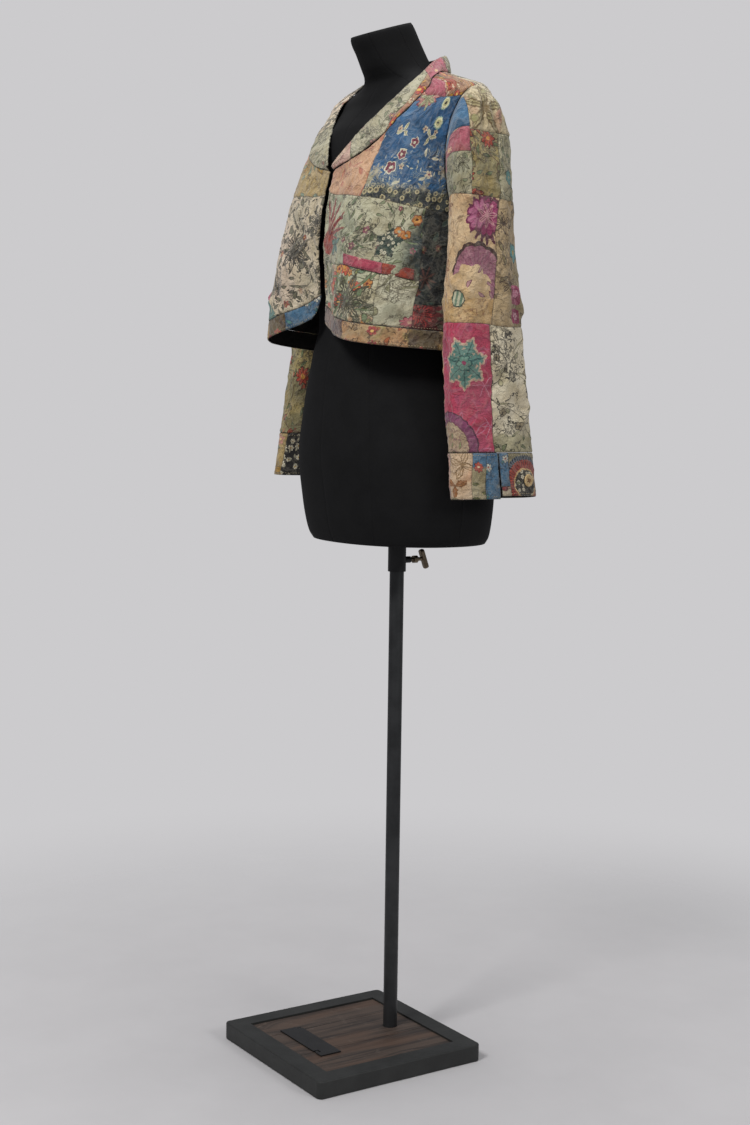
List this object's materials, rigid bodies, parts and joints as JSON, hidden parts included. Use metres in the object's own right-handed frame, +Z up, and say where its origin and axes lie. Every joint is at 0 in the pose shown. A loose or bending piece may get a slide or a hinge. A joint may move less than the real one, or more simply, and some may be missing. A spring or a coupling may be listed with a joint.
{
  "type": "patchwork jacket on a limbless dress form",
  "caption": "Cropped open-front patchwork jacket of printed cotton patches, worn by a black limbless dress form on a pole and a square wooden base",
  "frame": {"origin": "where the pole's axis meets the floor, at the underside of the base", "axes": "+X is the wearer's left, the open front faces -Y, +Z is up"},
  "size_m": [0.4946, 0.3666, 1.634],
  "materials": {
    "form_cover": "matte black jersey cover of the dress form",
    "dark_steel": "satin dark paint on pole, socket, plate and screws",
    "frame_paint": "charcoal paint, softly worn",
    "dark_wood": "dark brown stained boards with knots",
    "old_bronze": "dull bronze thumb screw",
    "printed_patchwork": "pieced printed cotton, soft and slightly crumpled",
    "button_horn": "cream and tan four-hole button"
  },
  "bodies": {
    "base": {"base_frame": "frame_paint", "base_plank_1": "dark_wood", "base_plank_2": "dark_wood", "base_plank_3": "dark_wood", "base_plate": "dark_steel", "plate_screw_1": "dark_steel", "plate_screw_2": "dark_steel"},
    "pole": {"pole": "dark_steel"},
    "form": {"dress_form": "form_cover", "socket": "dark_steel", "front_left": "printed_patchwork", "front_right": "printed_patchwork", "back": "printed_patchwork", "hem_band_left": "printed_patchwork", "hem_band_right": "printed_patchwork", "hem_band_back": "printed_patchwork", "collar": "printed_patchwork", "pocket_welt": "printed_patchwork", "sleeve_left": "printed_patchwork", "sleeve_right": "printed_patchwork", "cuff_left": "printed_patchwork", "cuff_right": "printed_patchwork", "cuff_button_left": "button_horn", "cuff_button_right": "button_horn"},
    "screw": {"thumb_screw": "old_bronze"}
  },
  "joints": [
    {"name": "pole_swivel", "type": "hinge", "parent": "base", "child": "pole", "pos_m": [0, 0, 0.02], "axis": [0, 0, 1], "continuous": true},
    {"name": "height_slide", "type": "slide", "parent": "pole", "child": "form", "axis": [0, 0, 1], "range_m": [-0.25, 0.15]},
    {"name": "screw_turn", "type": "hinge", "parent": "form", "child": "screw", "pos_m": [0, 0.045, 0.795], "axis": [0, 1, 0], "continuous": true}
  ]
}
